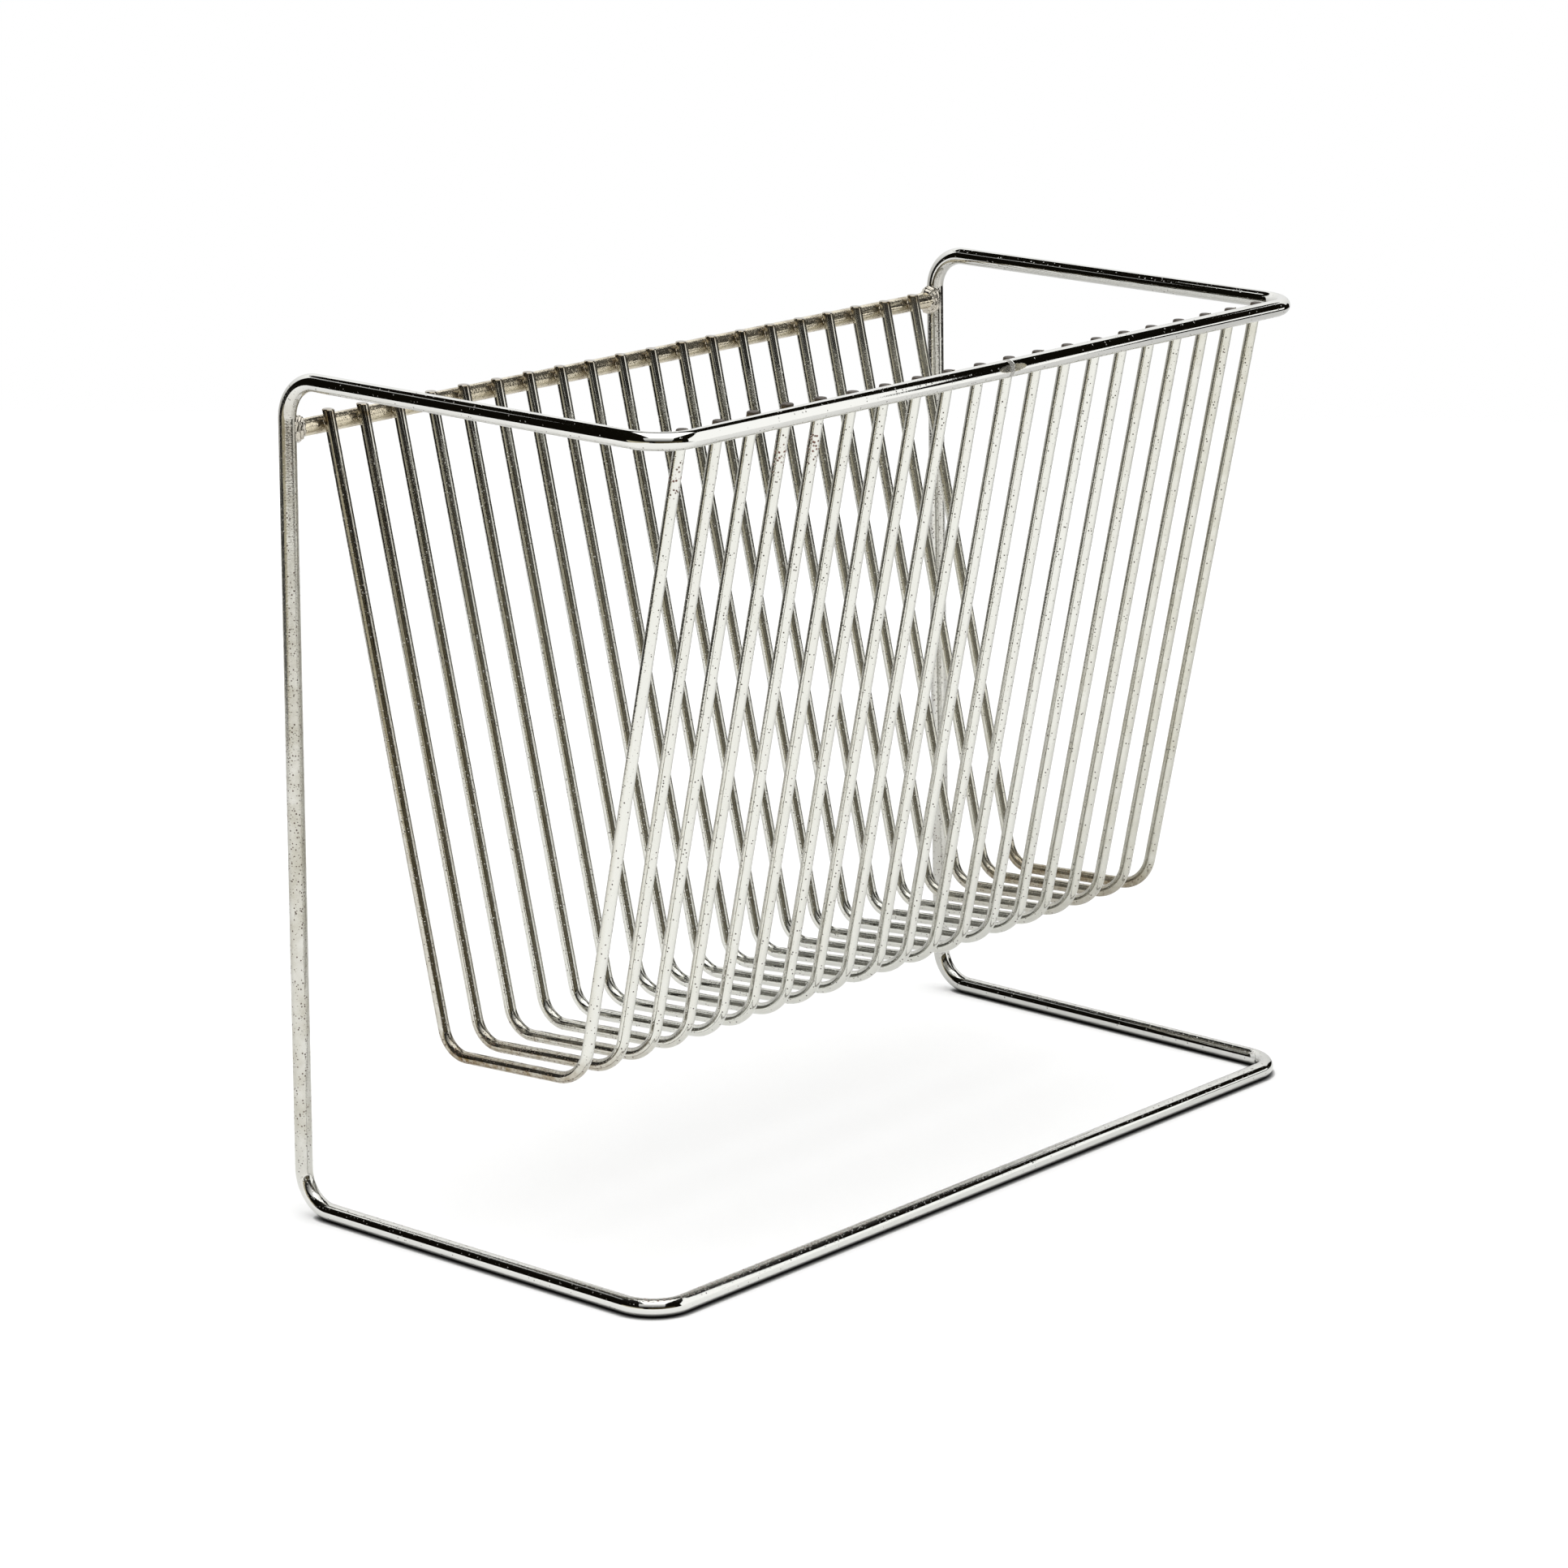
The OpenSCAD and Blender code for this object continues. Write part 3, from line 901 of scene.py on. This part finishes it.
class RACK_OT_stage(bpy.types.Operator):
    """Sets up the floor, the cards, the light and the camera"""

    bl_idname = "rack.stage"
    bl_label = "Studio"

    def execute(self, context):
        scene = context.scene
        g = scene.rack_stage
        scene.view_settings.view_transform = "Standard"
        self.world(scene, g)
        self.floor()
        self.backdrop()
        self.large_cards()
        for card in CARDS:
            self.card(*card)
        self.camera(scene, g)
        return {"FINISHED"}

    def world(self, scene, g):
        """White to the camera, dark in the mirrors, a soft light from above on the rest."""
        world = bpy.data.worlds.new("Studio")
        tree = empty_tree(world)
        path = add(tree, "LightPath").outputs
        way = add(tree, "TexCoord").outputs["Generated"]
        height = add(tree, "SeparateXYZ", {"Vector": way}).outputs["Z"]
        # An overhead light: the fill is its mean over the floor.
        above = add(tree, "Math", {0: height, 1: 0.0}, operation="MAXIMUM").outputs["Value"]
        above = add(tree, "Math", {0: above, 1: 2.0}, operation="POWER").outputs["Value"]
        above = add(
            tree, "MapRange", {"Value": above, "To Min": 0.05 * g.fill, "To Max": 1.95 * g.fill}
        ).outputs["Result"]
        shades = ((linear(WHITE), above), (linear(DARK_STUDIO), g.dark), (linear(WHITE), 1.0))
        soft, dark, white = (
            add(tree, "Background", {"Color": color, "Strength": strength}).outputs["Background"]
            for color, strength in shades
        )
        mirrors = add(tree, "MixShader", {0: path["Is Glossy Ray"], 1: soft, 2: dark}).outputs["Shader"]
        seen = add(tree, "MixShader", {0: path["Is Camera Ray"], 1: mirrors, 2: white}).outputs["Shader"]
        add(tree, "OutputWorld", {"Surface": seen})
        scene.world = world

    def sheet(self, name, verts, faces):
        """A flat or curved sheet of the studio."""
        mesh = bpy.data.meshes.new(name)
        mesh.from_pydata(verts, [], faces)
        piece = bpy.data.objects.new(name, mesh)
        bpy.context.scene.collection.objects.link(piece)
        return piece

    def plane(self, name, corners):
        """A flat sheet from its corners."""
        return self.sheet(name, corners, [range(len(corners))])

    def floor(self):
        """White paper, longer towards the camera."""
        paper = self.plane("Paper_floor", [AWAY * a + SIDE * b for a, b in PAPER])
        material = bpy.data.materials.new("White matt paper")
        tree = empty_tree(material)
        path = add(tree, "LightPath").outputs
        # Painted light: in the mirrors the paper's colour is brighter than white towards the camera, where
        # the lamps stand, and darker far from it.
        place = add(tree, "TexCoord").outputs["Object"]
        back = add(tree, "VectorMath", {0: place, 1: AWAY}, operation="DOT_PRODUCT").outputs["Value"]
        near, far = TONE_SPAN
        bright = add(
            tree,
            "MapRange",
            {"Value": back, "From Min": near, "From Max": far, "To Min": NEAR_PAINTED_LIGHT, "To Max": FAR_PAINTED_LIGHT},
        ).outputs["Result"]
        paper_and_painted_light = add(
            tree, "MapRange", {"Value": path["Is Glossy Ray"], "To Min": PAPER_TONE, "To Max": bright}
        ).outputs["Result"]
        # The chrome throws light under the rods. There the paper takes it back: its colour is darkened by
        # occlusion, a painted contact shadow, so they stand on a dark line.
        painted_contact_shadow = add(tree, "AmbientOcclusion", {"Distance": PAINTED_SHADOW_REACH}, samples=8).outputs["AO"]
        painted_contact_shadow = add(tree, "Math", {0: painted_contact_shadow, 1: 2.0}, operation="POWER").outputs["Value"]
        paper_and_painted_light = add(tree, "Math", {0: paper_and_painted_light, 1: painted_contact_shadow}, operation="MULTIPLY").outputs["Value"]
        matt = add(tree, "BsdfDiffuse", {"Color": paper_and_painted_light}).outputs["BSDF"]
        # To the camera the paper is lifted to white, so that only the rack's shadow shows on it.
        seen = path["Is Camera Ray"]
        lift = add(tree, "Math", {0: seen, 1: CAMERA_LIFT}, operation="MULTIPLY").outputs["Value"]
        # The lift is taken away again in the painted contact shadow.
        lift = add(tree, "Math", {0: lift, 1: painted_contact_shadow}, operation="MULTIPLY").outputs["Value"]
        lift = add(tree, "Emission", {"Strength": lift}).outputs["Emission"]
        surface = add(tree, "AddShader", {0: matt, 1: lift}).outputs["Shader"]
        add(tree, "OutputMaterial", {"Surface": surface})
        paper.data.materials.append(material)

    def backdrop(self):
        """Curved white wall, higher at its left end, and lower and open below at its right end."""
        verts = []
        for k in range(BACKDROP_STEPS + 1):
            azimuth = BACKDROP_FROM + BACKDROP_SWEEP * k / BACKDROP_STEPS
            raised = 0.2 * clamped((azimuth - 42) / 20)
            gap = 0.5 * clamped((8 - azimuth) / 10)
            dip = 0.16 * clamped((12 - azimuth) / 12)
            a = math.radians(azimuth)
            for z in (gap, BACKDROP_H - dip + raised):
                verts.append((BACKDROP_R * math.cos(a), BACKDROP_R * math.sin(a), z))
        faces = [(2 * k, 2 * k + 2, 2 * k + 3, 2 * k + 1) for k in range(BACKDROP_STEPS)]
        self.glow(self.sheet("Backdrop", verts, faces), WHITE, 1.45, low=0.8, span=(0.0, 1.2))

    def large_cards(self):
        """A tall white card to the right of the rack, and a softbox over the rack with a scrim."""
        self.glow(self.plane("Tall_card", [(TALL_X, y, z) for y, z in TALL_CARD]), WHITE, 1.6)
        softbox = [SOFTBOX_AT + AWAY * a + SIDE * b + UP * SOFTBOX_Z for a, b in SOFTBOX]
        self.glow(self.plane("Softbox", softbox), WHITE, 2.1)
        # The scrim falls from the softbox to the front and fades. Only the bends mirror it, as a soft end of
        # their dark bands.
        scrim = [SOFTBOX_AT + AWAY * a + SIDE * b + UP * z for a, b, z in SCRIM]
        self.glow(self.plane("Scrim", scrim), WHITE, 1.2, low=0.0, span=(SCRIM_Z, SOFTBOX_Z))

    def card(self, name, azimuth, elevation, distance, width, height, color, strength):
        """A card that faces the rack."""
        az, el = math.radians(azimuth), math.radians(elevation)
        out = Vector((math.cos(az) * math.cos(el), math.sin(az) * math.cos(el), math.sin(el)))
        middle = CARD_CENTRE + out * distance
        across = out.cross(UP).normalized()
        up = across.cross(out)
        ends = ((-1, -1), (1, -1), (1, 1), (-1, 1))
        corners = [middle + across * a * width / 2 + up * b * height / 2 for a, b in ends]
        self.glow(self.plane(name, corners), color, strength)

    def glow(self, piece, color, strength, low=None, span=None):
        """Lets a card shine in the mirrors only. Over a span of heights it fades down to low."""
        material = bpy.data.materials.new(piece.name + " glow")
        tree = empty_tree(material)
        if span:
            place = add(tree, "TexCoord").outputs["Object"]
            height = add(tree, "SeparateXYZ", {"Vector": place}).outputs["Z"]
            bottom, top = span
            strength = add(
                tree,
                "MapRange",
                {"Value": height, "From Min": bottom, "From Max": top, "To Min": low, "To Max": strength},
            ).outputs["Result"]
        surface = add(tree, "Emission", {"Color": linear(color), "Strength": strength}).outputs["Emission"]
        add(tree, "OutputMaterial", {"Surface": surface})
        piece.data.materials.append(material)
        piece.visible_camera = False
        piece.visible_diffuse = False
        piece.visible_shadow = False

    def camera(self, scene, g):
        """The camera at the photograph's viewing angle."""
        data = bpy.data.cameras.new("Camera")
        data.lens = g.lens_mm
        data.sensor_width = 36.0
        data.clip_end = 20.0
        camera = bpy.data.objects.new("Camera", data)
        scene.collection.objects.link(camera)
        right, look = Vector(g.camera_right), Vector(g.camera_look)
        up = right.cross(look)
        turn = Matrix((right, up, -look)).transposed().to_4x4()
        camera.matrix_world = Matrix.Translation(Vector(g.camera_at)) @ turn
        scene.camera = camera


# Add-on


class RACK_PT_panel(bpy.types.Panel):
    """The rack's sizes, colours and steps"""

    bl_idname = "RACK_PT_panel"
    bl_label = "Magazine rack"
    bl_space_type = "VIEW_3D"
    bl_region_type = "UI"
    bl_category = "Rack"

    def draw(self, context):
        for key in ("rod_d", "wire_d", "frame_h", "top_w", "top_depth", "wire_count", "wire_pitch"):
            self.layout.prop(context.scene.rack_sizes, key)
        for key in ("chromed_rod", "chromed_rail", "chromed_wire", "browned", "rust"):
            self.layout.prop(context.scene.rack_colors, key)
        for step in STEPS:
            self.layout.operator(step.bl_idname)


STEPS = (
    RACK_OT_frame_rod,
    RACK_OT_butt_weld,
    RACK_OT_back_rail,
    RACK_OT_back_rail_welds,
    RACK_OT_basket_wires,
    RACK_OT_wire_welds,
    RACK_OT_stage,
)
CLASSES = (RackSizes, RackColors, RackStage) + STEPS + (RACK_PT_panel,)


def register():
    """Adds the classes and the scene's properties."""
    for cls in CLASSES:
        bpy.utils.register_class(cls)
    bpy.types.Scene.rack_sizes = PointerProperty(type=RackSizes)
    bpy.types.Scene.rack_colors = PointerProperty(type=RackColors)
    bpy.types.Scene.rack_stage = PointerProperty(type=RackStage)


def unregister():
    """Takes the properties and the classes away again."""
    del bpy.types.Scene.rack_stage
    del bpy.types.Scene.rack_colors
    del bpy.types.Scene.rack_sizes
    for cls in reversed(CLASSES):
        bpy.utils.unregister_class(cls)


def main():
    """Builds the rack and its studio."""
    register()
    bpy.ops.rack.frame_rod()
    bpy.ops.rack.butt_weld()
    bpy.ops.rack.back_rail()
    bpy.ops.rack.back_rail_welds()
    bpy.ops.rack.basket_wires()
    bpy.ops.rack.wire_welds()
    bpy.ops.rack.stage()


if __name__ == "__main__":
    main()
